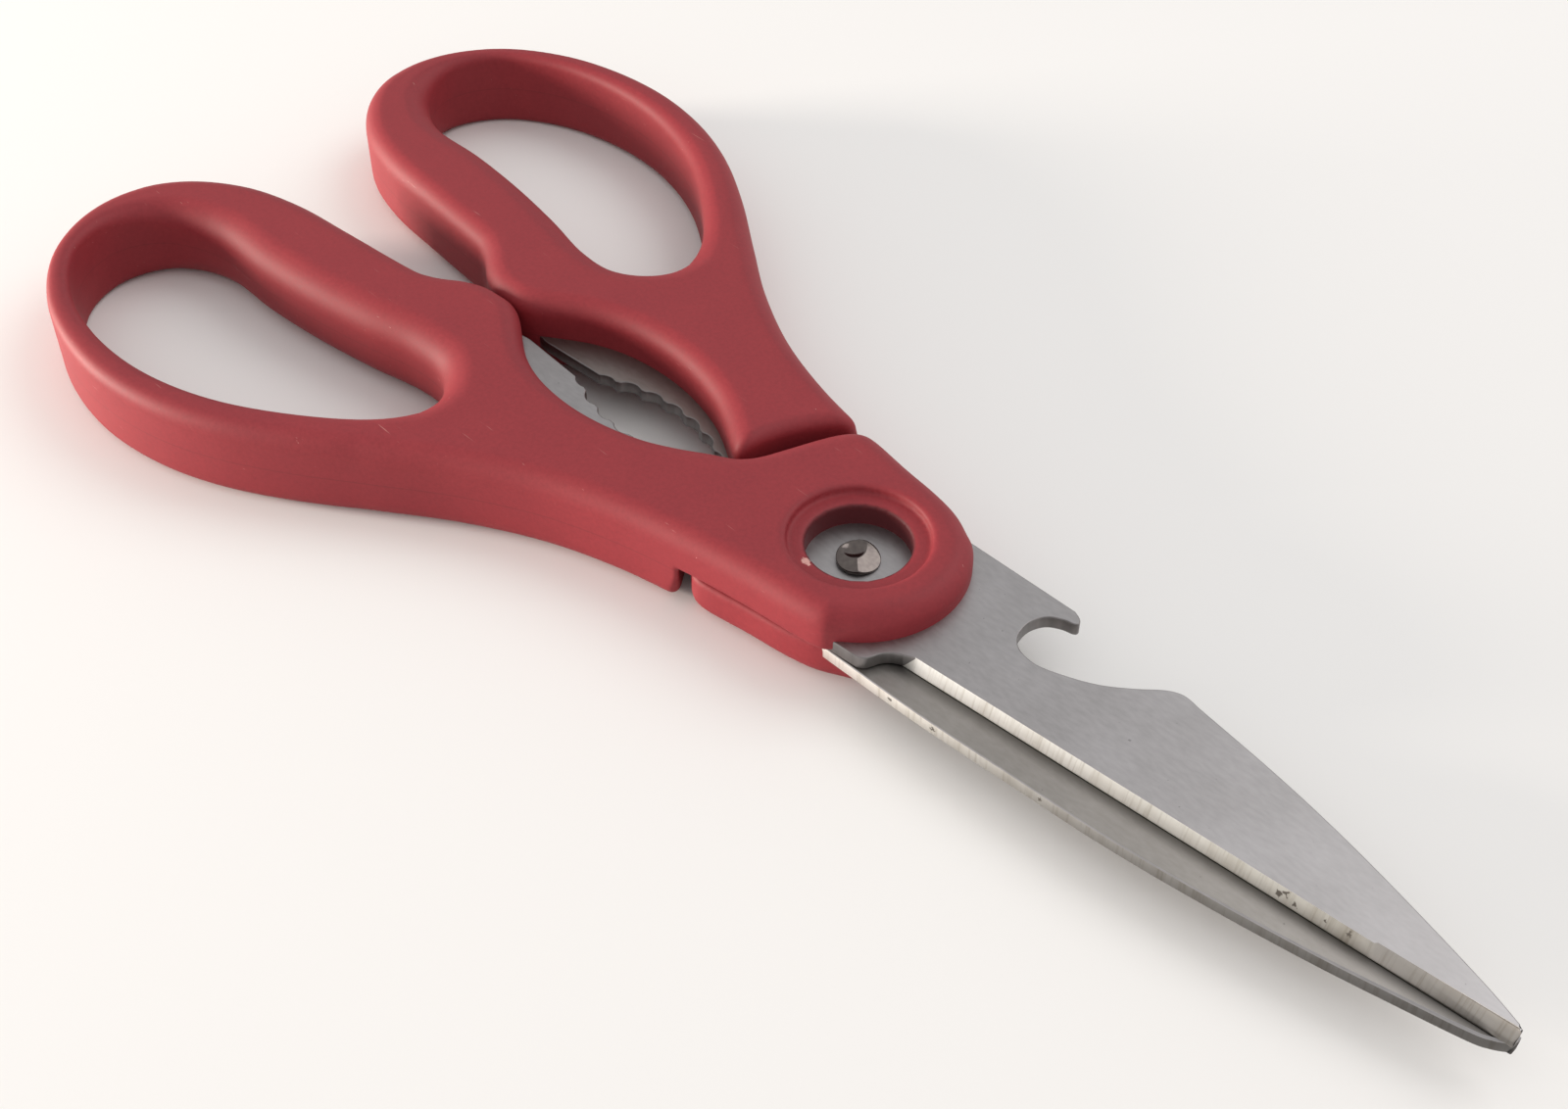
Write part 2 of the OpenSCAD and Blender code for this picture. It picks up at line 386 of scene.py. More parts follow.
def material(name, **values):
    """A material with one Principled shader whose plain values are set on its own sockets."""
    made = bpy.data.materials.new(name)
    made.use_nodes = True
    shader = made.node_tree.nodes["Principled BSDF"]
    for key, value in values.items():
        shader.inputs[key.replace("_", " ")].default_value = value
    return made, made.node_tree, shader


def per_mm(size):
    """Texture scale for a pattern whose marks are size millimetres across."""
    return 1 / (size * MM)


# %% [markdown]
# ## Red polypropylene
# The handles are injection-moulded polypropylene, coloured in the mass. The mould was lightly textured, so
# the skin has a soft sheen and a fine speckle instead of a mirror. A thin parting line runs round the middle
# where the two mould halves met, and years in a drawer have left pale scuffs. The well's wall is painted dark:
# painted shade, where the well's rim keeps the room's light off it. Small chips and nicks are placed one by
# one: a mask is 1 near a few given places, and a little noise in the distance gives each a broken outline.

# %% Marks at given places
def marks_at(tree, where, places, ragged):
    """1 inside small marks at (x, y, z, radius) in millimetres round the rivet, 0 elsewhere."""
    noise = add(tree, "ShaderNodeTexNoise", {"Vector": where, "Scale": per_mm(0.4), "Detail": 3.0})
    shift = add(tree, "ShaderNodeVectorMath", {0: noise.outputs["Color"], 1: (0.5, 0.5, 0.5)},
                operation="SUBTRACT")
    small = add(tree, "ShaderNodeVectorMath", {0: shift.outputs[0], "Scale": ragged * MM}, operation="SCALE")
    moved = add(tree, "ShaderNodeVectorMath", {0: where, 1: small.outputs[0]}, operation="ADD").outputs[0]
    mask = 0.0
    for x, y, z, r in places:
        spot = ((x + pivot_x) * MM, y * MM, z * MM)
        away = add(tree, "ShaderNodeVectorMath", {0: moved, 1: spot}, operation="DISTANCE").outputs["Value"]
        inside = add(tree, "ShaderNodeMapRange", {"Value": away, "From Min": 0.7 * r * MM, "From Max": r * MM,
                                                  "To Min": 1.0, "To Max": 0.0})
        mask = add(tree, "ShaderNodeMath", {0: inside.outputs[0], 1: mask}, operation="MAXIMUM").outputs[0]
    return mask


# %% Handle plastic
CHIPS = [[-2.1, -6.8, 10.8, 0.55], [-1.5, -7, 10.9, 0.35], [0.8, -11, 11.6, 0.16], [3, -10.3, 11.7, 0.16],
         [1.7, -13.2, 7.6, 0.14], [-70, 46, 11.6, 0.25], [-12, -14.9, 9.8, 0.15], [-20, 12.5, 11.9, 0.16]]


def red_polypropylene():
    """Moulded polypropylene: a deep red with a soft, broad sheen, finely speckled and a little scuffed."""
    made, tree, shader = material("red_polypropylene", Roughness=0.62, IOR=1.49)
    where = add(tree, "ShaderNodeTexCoord").outputs["Object"]
    # The colour drifts over about 9 mm. The mould's texture is about 0.1 mm across, too fine to show, so it
    # is drawn at 0.55 mm.
    clouds = add(tree, "ShaderNodeTexNoise", {"Vector": where, "Scale": per_mm(9), "Detail": 3.0})
    speckle = add(tree, "ShaderNodeTexNoise",
                  {"Vector": where, "Scale": per_mm(0.55), "Detail": 4.0, "Roughness": 0.7})
    body = add(tree, "ShaderNodeValToRGB", {"Fac": clouds.outputs["Fac"]},
               stops=[(0.3, "#871F29"), (0.7, "#8F242C")]).outputs[0]
    grain = add(tree, "ShaderNodeValToRGB", {"Fac": speckle.outputs["Fac"]},
                stops=[(0.3, "#7E1922"), (0.72, "#9C2E35")]).outputs[0]
    mixed = add(tree, "ShaderNodeMix", {"Factor": 0.45, 6: body, 7: grain}, data_type="RGBA")
    # Hairline scuffs, 7 mm long and about 0.3 mm wide, lie slantwise and only where the drift is high.
    turned = add(tree, "ShaderNodeMapping", {"Vector": where, "Rotation": (0, 0, 0.7), "Scale": (1, 26, 26)})
    scratch = add(tree, "ShaderNodeTexNoise",
                  {"Vector": turned.outputs[0], "Scale": per_mm(7), "Detail": 2.0})
    scuff = add(tree, "ShaderNodeValToRGB", {"Fac": scratch.outputs["Fac"]},
                stops=[(0.725, "#000000"), (0.765, "#FFFFFF")]).outputs[0]
    patch = add(tree, "ShaderNodeValToRGB", {"Fac": clouds.outputs["Fac"]},
                stops=[(0.5, "#000000"), (0.62, "#FFFFFF")]).outputs[0]
    both = add(tree, "ShaderNodeMath", {0: scuff, 1: patch}, operation="MULTIPLY")
    chips = marks_at(tree, where, CHIPS, 1.1)
    faint = add(tree, "ShaderNodeMath", {0: both.outputs[0], 1: 0.35}, operation="MULTIPLY")
    pale = add(tree, "ShaderNodeMath", {0: chips, 1: 0.75}, operation="MULTIPLY")
    some = add(tree, "ShaderNodeMath", {0: faint.outputs[0], 1: pale.outputs[0]}, operation="MAXIMUM")
    scuffed = add(tree, "ShaderNodeMix", {"Factor": some.outputs[0], 6: mixed.outputs[2], 7: srgb("#E9B7AC")},
                  data_type="RGBA")
    # The parting line is a quarter of a millimetre wide, at half the handle's thickness.
    height = add(tree, "ShaderNodeSeparateXYZ", {0: where}).outputs["Z"]
    off = add(tree, "ShaderNodeMath", {0: height, 1: handle_t / 2 * MM}, operation="SUBTRACT")
    away = add(tree, "ShaderNodeMath", {0: off.outputs[0]}, operation="ABSOLUTE")
    seam = add(tree, "ShaderNodeMapRange", {"Value": away.outputs[0], "From Min": 0.04 * MM,
                                            "From Max": 0.14 * MM, "To Min": 1.0, "To Max": 0.0})
    lined = add(tree, "ShaderNodeMath", {0: seam.outputs[0], 1: 0.3}, operation="MULTIPLY")
    final = add(tree, "ShaderNodeMix",
                {"Factor": lined.outputs[0], 6: scuffed.outputs[2], 7: srgb("#5F181D")}, data_type="RGBA")
    # Painted shade on the bore's wall, where the well's rim keeps the room's light off it. It stops just
    # outside the bore's radius.
    flat_at = add(tree, "ShaderNodeVectorMath", {0: where, 1: (1, 1, 0)}, operation="MULTIPLY").outputs[0]
    from_pivot = add(tree, "ShaderNodeVectorMath", {0: flat_at, 1: (pivot_x * MM, 0, 0)},
                     operation="DISTANCE")
    well_shade = add(tree, "ShaderNodeMapRange",
                {"Value": from_pivot.outputs["Value"], "From Min": (WELL_R + 0.02) * MM,
                 "From Max": (WELL_R + 0.35) * MM, "To Min": 0.62, "To Max": 0.0})
    well_shaded = add(tree, "ShaderNodeMix", {"Factor": well_shade.outputs[0], 6: final.outputs[2], 7: srgb("#2A1418")},
                data_type="RGBA")
    tree.links.new(well_shaded.outputs[2], shader.inputs["Base Color"])
    sheen = add(tree, "ShaderNodeMapRange", {"Value": speckle.outputs["Fac"], "To Min": 0.56, "To Max": 0.7})
    tree.links.new(sheen.outputs[0], shader.inputs["Roughness"])
    rough = add(tree, "ShaderNodeBump",
                {"Strength": 0.35, "Distance": 0.03 * MM, "Height": speckle.outputs["Fac"]})
    tree.links.new(rough.outputs[0], shader.inputs["Normal"])
    return made


plastic = red_polypropylene()

# %% [markdown]
# ## Stainless steel: four finishes and a shaded copy
# The blades are stamped from cold-rolled stainless sheet and tumbled, which leaves a satin grey with a faint
# grain along the strip. The faces that slide on each other are ground flat. The lower blade's, which shows, is
# a darker copy of the satin steel: painted shade for the dimmer reflection it catches, with a band of painted
# shadow of the upper blade's edge and the wear where that edge rubs. The stamped edges are rougher. The
# cutting edges are ground last, across the blade, so they are bright with fine striations near the heel, and
# their colour darkens towards the tip and more where the second grind begins. The rivet is turned steel.

# %% Flat faces of the blades
# The line that the cutting edges lie on when the shears are shut: a point of it, and the way across it.
SHUT_EDGE_AT = (14.6, -7.4)
ACROSS_SHUT_EDGE = (0.0785, -0.9969, 0)
# How far from that line the painted shadow of the other blade's edge, with its rub wear, reaches.
RUB_SHADE_W = 2.2


def satin_stainless(name, stops, fine_stops, rub_shade_strength=0.0):
    """Rolled and tumbled stainless: a soft grey with a faint grain, and a dark band along the other blade's
    edge: painted shadow of that edge, with the wear where it rubs.
    """
    made, tree, shader = material(name, Metallic=1.0, Roughness=0.4)
    where = add(tree, "ShaderNodeTexCoord").outputs["Object"]
    # The rolling grain is about 0.05 mm across, too fine to show, so it is drawn at 0.5 mm, drawn out along X.
    # The stains are about 9 mm across, and the specks under 1 mm.
    along = add(tree, "ShaderNodeMapping", {"Vector": where, "Scale": (0.35, 1, 1)})
    grain = add(tree, "ShaderNodeTexNoise", {"Vector": along.outputs[0], "Scale": per_mm(0.5), "Detail": 4.0})
    clouds = add(tree, "ShaderNodeTexNoise", {"Vector": where, "Scale": per_mm(9), "Detail": 5.0})
    specks = add(tree, "ShaderNodeTexNoise", {"Vector": where, "Scale": per_mm(0.8), "Detail": 2.0})
    tone = add(tree, "ShaderNodeValToRGB", {"Fac": clouds.outputs["Fac"]}, stops=stops).outputs[0]
    fine = add(tree, "ShaderNodeValToRGB", {"Fac": grain.outputs["Fac"]}, stops=fine_stops).outputs[0]
    both = add(tree, "ShaderNodeMix", {"Factor": 0.4, 6: tone, 7: fine}, data_type="RGBA")
    dots = add(tree, "ShaderNodeValToRGB", {"Fac": specks.outputs["Fac"]},
               stops=[(0.74, "#000000"), (0.78, "#FFFFFF")]).outputs[0]
    some = add(tree, "ShaderNodeMath", {0: dots, 1: 0.45}, operation="MULTIPLY")
    final = add(tree, "ShaderNodeMix", {"Factor": some.outputs[0], 6: both.outputs[2], 7: srgb("#5E5A5C")},
                data_type="RGBA")
    # A dark band along the shut edge line: painted shadow of the upper blade's edge, with the wear where that
    # edge rubs.
    edge_at = ((pivot_x + SHUT_EDGE_AT[0]) * MM, SHUT_EDGE_AT[1] * MM, 0)
    from_edge = add(tree, "ShaderNodeVectorMath", {0: where, 1: edge_at}, operation="SUBTRACT")
    across = add(tree, "ShaderNodeVectorMath", {0: from_edge.outputs[0], 1: ACROSS_SHUT_EDGE},
                 operation="DOT_PRODUCT")
    away = add(tree, "ShaderNodeMath", {0: across.outputs["Value"]}, operation="ABSOLUTE")
    rub_shade = add(tree, "ShaderNodeMapRange", {"Value": away.outputs[0], "From Max": RUB_SHADE_W * MM,
                                           "To Min": rub_shade_strength, "To Max": 0.0}, interpolation_type="SMOOTHSTEP")
    band = add(tree, "ShaderNodeMix", {"Factor": rub_shade.outputs[0], 6: final.outputs[2], 7: srgb("#3A3836")},
               data_type="RGBA")
    tree.links.new(band.outputs[2], shader.inputs["Base Color"])
    rough = add(tree, "ShaderNodeMapRange", {"Value": grain.outputs["Fac"], "To Min": 0.36, "To Max": 0.46})
    tree.links.new(rough.outputs[0], shader.inputs["Roughness"])
    bump = add(tree, "ShaderNodeBump",
               {"Strength": 0.2, "Distance": 0.01 * MM, "Height": grain.outputs["Fac"]})
    tree.links.new(bump.outputs[0], shader.inputs["Normal"])
    return made


# %% Stamped edges
def blanked_edge():
    """An edge sheared by a punch: a darker grey, with upright drag lines."""
    made, tree, shader = material("blanked_edge", Metallic=1.0, Roughness=0.42)
    where = add(tree, "ShaderNodeTexCoord").outputs["Object"]
    # The drag lines are about 0.1 mm apart, too fine to show, so they are drawn at 0.8 mm.
    upright = add(tree, "ShaderNodeMapping", {"Vector": where, "Scale": (1, 1, 0.12)})
    drag = add(tree, "ShaderNodeTexNoise",
               {"Vector": upright.outputs[0], "Scale": per_mm(0.8), "Detail": 3.0})
    tone = add(tree, "ShaderNodeValToRGB", {"Fac": drag.outputs["Fac"]},
               stops=[(0.3, "#7C7978"), (0.7, "#8A8685")]).outputs[0]
    tree.links.new(tone, shader.inputs["Base Color"])
    bump = add(tree, "ShaderNodeBump",
               {"Strength": 0.15, "Distance": 0.02 * MM, "Height": drag.outputs["Fac"]})
    tree.links.new(bump.outputs[0], shader.inputs["Normal"])
    return made


# %% Ground edges
NICKS = [[27.9, -6.9, 6.9, 0.3], [64.1, -3.2, 6.9, 0.5], [64.8, -3, 7.3, 0.4], [66, -3.1, 6.7, 0.3],
         [72.3, -2.6, 7.2, 0.4], [69.6, -2.9, 7, 0.25], [16.5, -11.7, 5.2, 0.35], [23, -11.4, 5, 0.35],
         [37.9, -10.4, 5.1, 0.35]]
# From the rivet, 0, to the tip, 1: the cutting edge's colour darkens towards the tip, and the second grind
# starts near the tip.
BRIGHTNESS = [(0.1, "#FFFFFC"), (0.35, "#FDFBF6"), (0.6, "#EFEDE6"), (0.74, "#D3D0C8"), (0.822, "#B9B5AE"),
              (0.83, "#B1ACA6"), (1, "#A5A19C")]
SPINE_BRIGHTNESS = [(0.1, "#FFFBF4"), (0.2, "#F4F0E8"), (0.35, "#C9C6C0"), (0.5, "#A4A19D"),
                    (0.7, "#83817E"), (0.95, "#6B6967")]


def ground_edge():
    """Steel ground across the blade: bright, with striations, and duller towards the tip."""
    made, tree, shader = material("ground_edge", Metallic=1.0, Roughness=0.38)
    where = add(tree, "ShaderNodeTexCoord").outputs["Object"]
    split = add(tree, "ShaderNodeSeparateXYZ", {0: where})
    low = add(tree, "ShaderNodeMath", {0: split.outputs["Z"], 1: handle_t / 2 * MM}, operation="LESS_THAN")
    along = add(tree, "ShaderNodeMapRange", {"Value": split.outputs["X"], "From Min": pivot_x * MM,
                                             "From Max": (tip_x + pivot_x) * MM})
    edge_tone = add(tree, "ShaderNodeValToRGB", {"Fac": along.outputs[0]}, stops=BRIGHTNESS).outputs[0]
    spine_tone = add(tree, "ShaderNodeValToRGB", {"Fac": along.outputs[0]},
                     stops=SPINE_BRIGHTNESS).outputs[0]
    tone = add(tree, "ShaderNodeMix", {"Factor": low.outputs[0], 6: edge_tone, 7: spine_tone},
               data_type="RGBA")
    # The grit leaves lines about 0.05 mm apart, too fine to show, so they are drawn at 0.4 mm. The wheel's
    # chatter leaves bands about 3 mm apart.
    across = add(tree, "ShaderNodeMapping", {"Vector": where, "Scale": (1, 0.06, 0.06)})
    lines, bands = (add(tree, "ShaderNodeTexNoise",
                        {"Vector": across.outputs[0], "Scale": per_mm(size), "Detail": detail})
                    for size, detail in ((0.4, 4.0), (3, 2.0)))
    shade = add(tree, "ShaderNodeValToRGB", {"Fac": bands.outputs["Fac"]},
                stops=[(0.3, "#DBD6CF"), (0.5, "#FFFFFF")]).outputs[0]
    fine = add(tree, "ShaderNodeValToRGB", {"Fac": lines.outputs["Fac"]},
               stops=[(0.3, "#D2CDC5"), (0.5, "#FFFFFF")]).outputs[0]
    both = add(tree, "ShaderNodeMix", {"Factor": 0.5, 6: shade, 7: fine}, data_type="RGBA")
    ground_tone = add(tree, "ShaderNodeMix", {"Factor": 1.0, 6: tone.outputs[2], 7: both.outputs[2]},
                      data_type="RGBA", blend_type="MULTIPLY")
    nicks = marks_at(tree, where, NICKS, 1.3)
    nicked = add(tree, "ShaderNodeMix", {"Factor": nicks, 6: ground_tone.outputs[2], 7: srgb("#77716A")},
                 data_type="RGBA")
    tree.links.new(nicked.outputs[2], shader.inputs["Base Color"])
    bump = add(tree, "ShaderNodeBump",
               {"Strength": 0.2, "Distance": 0.02 * MM, "Height": lines.outputs["Fac"]})
    tree.links.new(bump.outputs[0], shader.inputs["Normal"])
    return made


# %% Rivet steel
def staked_steel():
    """Steel pressed by a hard tool: darker than the blades, and smooth enough to mirror the room."""
    made, tree, shader = material("staked_steel", Metallic=1.0, Roughness=0.15)
    where = add(tree, "ShaderNodeTexCoord").outputs["Object"]
    # Dents and stains about 0.6 mm across.
    marks = add(tree, "ShaderNodeTexNoise", {"Vector": where, "Scale": per_mm(0.6), "Detail": 4.0})
    tone = add(tree, "ShaderNodeValToRGB", {"Fac": marks.outputs["Fac"]},
               stops=[(0.3, "#605957"), (0.7, "#6F6864")]).outputs[0]
    tree.links.new(tone, shader.inputs["Base Color"])
    bump = add(tree, "ShaderNodeBump",
               {"Strength": 0.12, "Distance": 0.03 * MM, "Height": marks.outputs["Fac"]})
    tree.links.new(bump.outputs[0], shader.inputs["Normal"])
    return made


satin = satin_stainless(
    "satin_stainless", [(0.3, "#9B9999"), (0.7, "#A8A6A7")], [(0.3, "#969494"), (0.7, "#ACA9AA")])
# The lower blade's sliding face: the same steel made darker as painted shade for the dimmer reflection it
# catches, with the painted shadow band along the upper blade's edge.
mating_shaded = satin_stainless(
    "mating_face_shaded", [(0.3, "#8D8985"), (0.7, "#9A9692")], [(0.3, "#898681"), (0.7, "#9C9995")], rub_shade_strength=0.62)
blanked, ground, staked = blanked_edge(), ground_edge(), staked_steel()
print("materials:", [m.name for m in bpy.data.materials])

# %% [markdown]
# ## The two handles
# Both handles come out of one mould, and the left one is the same moulding turned over.

# %% Handles
def make_handle(name, body, upper):
    piece = make_mesh(name, handle_points, handle_faces, [plastic], upper)
    hand_over(piece, name.replace("_moulding", ""), body)


make_handle("left_handle_moulding", "upper_half", True)
make_handle("right_handle_moulding", "lower_half", False)

# %% [markdown]
# ## Blades from stacked outlines
# A stamped blade is one flat outline with a thickness. Its edges are what make it look real: the tumbled
# corners are slightly round, and the cutting edge is ground back at a slope. So the blade is drawn as a stack
# of copies of its outline, each pulled in by the amount that its level needs, and closed by two flat faces
# with the rivet's bore through them.

# %% Outline of the blades
jaw_x, jaw_h, jaw_r = -38.0, 4.6, 24.0
scallops, scallop_pitch, scallop_r, scallop_depth = 7, 3.5, 2.2, 0.5
TANG_Y = 1.3


def jaw_edge(step):
    """The nutcracker's edge: a shallow hollow with a row of scallops cut along it."""
    half = math.sqrt(jaw_r**2 - (jaw_r - jaw_h + TANG_Y)**2)
    x = np.arange(-half, half, step)
    y = np.sqrt(jaw_r**2 - x**2) + jaw_h - jaw_r
    for i in range(scallops):
        middle = (i - (scallops - 1) / 2) * scallop_pitch
        centre = math.sqrt(jaw_r**2 - middle**2) + jaw_h - jaw_r - scallop_r + scallop_depth
        near = np.abs(x - middle) < scallop_r
        y[near] = np.maximum(y[near], centre + np.sqrt(scallop_r**2 - (x[near] - middle)**2))
    return np.stack([x + jaw_x, y], 1)


tang_back = [[-1, 12.2], [-16, 13.6], [-28, 15.4], [-40, 17], [-50, 15.6], [-58, 12.4], [-63.5, 9],
             [-64.5, 6], [-63.8, 3], [-62.5, 1.5], [-60.5, TANG_Y]]
tang_front = [[-22, 1.6], [-19, -0.5], [-17, -5], [-15, -9.5], [-13, -12.4], [-11, -13]]
upper_nose = np.vstack([
    [[0, -12], [22.8, -12.2]],
    curve([[23.6, -12.2], [24.7, -11.7], [25.2, -11], [24.8, -10.5], [23.4, -10.1], [21.9, -9.1],
           [21.1, -7.3], [21.2, -5.4], [21.9, -3.9], [23.4, -2.8], [26, -2.5], [29.5, -3.6], [33, -5.3],
           [36, -7.6], [38.5, -9.9], [40, -10.75], [41.2, -10.9], [43, -10.6]], 8),
    curve([[43, -10.6], [55, -8.9], [65, -7], [75, -4.6], [85, -1.9], [tip_x - 0.6, -0.2]], 6),
    [[tip_x - 0.6, -0.2], [tip_x, 0.5]]])
upper_heel = np.vstack([
    curve([[14.6, 7.4], [13.4, 8.1], [12.6, 9.1], [12.2, 10.2], [11.8, 11], [11, 11.5]], 6)[1:],
    [[11, 11.5], [4, 12]]])
lower_nose = np.vstack([
    [[0, -11.8]],
    curve([[7, -11.8], [20, -11.5], [33, -10.7], [46, -9.8], [58, -8.3], [70, -6.3], [80, -4.2],
           [87, -2.6], [89, -1.8], [tip_x - 0.7, -1.1]], 8),
    curve([[tip_x - 0.7, -1.1], [tip_x - 0.2, -0.6], [tip_x, 0]], 3),
    [[tip_x, 0]]])
lower_heel = curve([[14.5, 3.6], [13, 6], [12.2, 9], [11.5, 11.5], [6, 12]], 4)[1:]

# %% [markdown]
# The corners are rounded by an eighth of a turn at a time. The cutting edge slopes in all the way down the
# plate, and its bevel is suddenly wider where the second grind begins, so each edge of the outline is pulled
# in by its own amount. Where two edges meet at a sharp corner, they are met in a true mitre.

# %% Pull an outline in
SHARP = 0.2


def pulled_in(loop, inset):
    """The closed loop with edge i moved in by inset[i]."""
    along = np.roll(loop, -1, 0) - loop
    normal = np.stack([-along[:, 1], along[:, 0]], 1) / np.linalg.norm(along, axis=1)[:, None]
    before, last = np.roll(normal, 1, 0), np.roll(inset, 1)
    cross = before[:, 0] * normal[:, 1] - before[:, 1] * normal[:, 0]
    sharp = np.abs(cross) > SHARP
    mitre = np.stack([last * normal[:, 1] - inset * before[:, 1],
                      inset * before[:, 0] - last * normal[:, 0]], 1) / np.where(sharp, cross, 1)[:, None]
    mean = (before + normal) / np.maximum(np.linalg.norm(before + normal, axis=1), TINY)[:, None]
    return loop + np.where(sharp[:, None], mitre, mean * ((last + inset) / 2)[:, None])


# %% Levels of the stack
CORNER_R = 0.14
EDGE_LAND = 0.05
SECOND_GRIND_X = 75.0
BEVEL_W, TIP_BEVEL_W = 0.6, 1.2
CHAMFER_X, CHAMFER_RUN = 55, 30


def cutting_edge(tip, heel):
    """Points from the tip to the heel, close together where the second grind begins."""
    jump = [(tip[0] - x) / (tip[0] - heel[0]) for x in (SECOND_GRIND_X + 0.15, SECOND_GRIND_X - 0.15)]
    between = [s for s in np.linspace(0.2, 0.98, 40) if abs(s - jump[0]) > 0.01]
    shares = sorted([0] + jump + between)
    return np.array([np.array(tip) + (np.array(heel) - tip) * s for s in shares] + [heel])


def blade_rings(loop, cut, spine, chamfer):
    """The outline at each level, from the face that slides down to the outer face."""
    middle = (loop[:, 0] + np.roll(loop, -1, 0)[:, 0]) / 2
    width = np.where(cut, np.where(middle > SECOND_GRIND_X, TIP_BEVEL_W, BEVEL_W), 0)
    ease = np.where(spine, np.clip((middle - CHAMFER_X) / CHAMFER_RUN, 0, 1) * chamfer, 0)
    drop = CORNER_R * (1 - math.cos(math.pi / 4))
    tall = plate_top - plate_z
    levels = [(0, CORNER_R + ease), (drop + ease * 0.9, drop + ease * 0.1), (CORNER_R + ease, 0),
              (tall - CORNER_R, 0), (tall - drop, drop), (tall, CORNER_R)]
    rings = []
    for depth, inset in levels:
        depth = np.broadcast_to(depth, len(loop)) * 1.0
        bevel = width * np.clip(np.minimum(depth, tall) - EDGE_LAND, 0, None) / (tall - EDGE_LAND)
        z = plate_top - (depth + np.roll(depth, 1)) / 2
        rings.append(np.column_stack([pulled_in(loop, np.where(cut, bevel, inset)), z]))
    return rings


# %% Close the stack
FLAT, STAMPED, GROUND, SLIDING = range(4)
BORE_SIDES = 48
JAW_STEP = 0.15


def wall_finish(level, cut, spine, polished_spine):
    """Which finish the wall below a level has."""
    if cut or (polished_spine and spine and level > 1):
        return GROUND
    return FLAT if spine and level < 2 else STAMPED


def pierced_face(points, rim, bore, downward):
    """Triangles that fill an outline round its bore."""
    order = [*rim, *bore]
    faces = []
    for triangle in tessellate_polygon([[Vector((*points[i][:2], 0)) for i in run] for run in (rim, bore)]):
        corners = [order[t] for t in triangle]
        a, b, c = (points[i][:2] for i in corners)
        area = (b[0] - a[0]) * (c[1] - a[1]) - (b[1] - a[1]) * (c[0] - a[0])
        faces.append(corners[::-1] if (area < 0) != downward else corners)
    return faces


def stacked_blade(nose, heel, tip, heel_corner, bore_r, chamfer, polished_spine):
    """Points, faces and each face's finish."""
    edge = cutting_edge(tip, heel_corner)
    uncut = [tang_back, jaw_edge(JAW_STEP), tang_front, nose]
    loop = np.vstack(uncut + [edge, heel])
    n, m = len(loop), BORE_SIDES
    first_cut = sum(len(p) for p in uncut)
    number = np.arange(n)
    cut = (number >= first_cut) & (number < first_cut + len(edge) - 1)
    spine = (number >= first_cut - len(nose)) & (number < first_cut)
    rings = blade_rings(loop, cut, spine, chamfer)
    circle = arc([0, 0], bore_r, 0, 360, m)[:-1]
    points = np.vstack(rings + [np.column_stack([circle, np.full(m, z)]) for z in (plate_top, plate_z)])
    faces, kinds = [], []
    for k in range(len(rings) - 1):
        for i in range(n):
            j = (i + 1) % n
            faces.append([k * n + i, (k + 1) * n + i, (k + 1) * n + j, k * n + j])
            kinds.append(wall_finish(k, cut[i], spine[i], polished_spine))
    bore = len(rings) * n
    for i in range(m):
        j = (i + 1) % m
        faces.append([bore + i, bore + j, bore + m + j, bore + m + i])
        kinds.append(STAMPED)
    for rim, hole_rim, downward, kind in ((0, bore, False, SLIDING), (bore - n, bore + m, True, FLAT)):
        face = pierced_face(points, range(rim, rim + n), range(hole_rim, hole_rim + m), downward)
        faces += face
        kinds += [kind] * len(face)
    return points, faces, np.array(kinds)


# %% Blades
def make_blade(name, body, upper, *drawing):
    points, faces, kinds = stacked_blade(*drawing)
    flat = np.isin(kinds, (FLAT, SLIDING))
    piece = make_mesh(name, points, faces, [satin, blanked, ground, mating_shaded], upper, kinds, flat)
    hand_over(piece, name.replace("_plate", ""), body)


SHANK_R, SHANK_FIT = 2.0, 0.05
TIP_CHAMFER = 0.12
make_blade("upper_blade_plate", "upper_half", True,
           upper_nose, upper_heel, [tip_x, 1.4], [14.6, 7.4], SHANK_R + SHANK_FIT, 0.0, False)
make_blade("lower_blade_plate", "lower_half", False,
           lower_nose, lower_heel, [tip_x, 0.4], [14.5, 3.6], SHANK_R, TIP_CHAMFER, True)

# %% [markdown]
# ## The staked rivet
# The rivet is a turned piece whose top was struck with a tool. That left a shallow dish and two sloping
# facets, with creases between them. Its shape follows a rule, so Geometry Nodes make it: a profile is swept
# round a circle, as on a lathe, and then every point of the head is pushed down by whichever mark is deepest
# there. The sizes are named inputs, so that one tree would make any rivet struck in this way.

# %% The rule for a turned and struck head
RIVET_INPUTS = [
    ("Profile", "Geometry"), ("Sides", "Int"), ("Guide Radius", "Float"), ("Head Base", "Float"),
    ("Head Height", "Float"), ("Dish Place", "Vector"), ("Dish Radius", "Float"), ("Dish Depth", "Float"),
    ("Facet Slope", "Vector"), ("Facet Start", "Float"), ("Second Slope", "Vector"),
    ("Second Start", "Float"), ("Finish", "Material")]


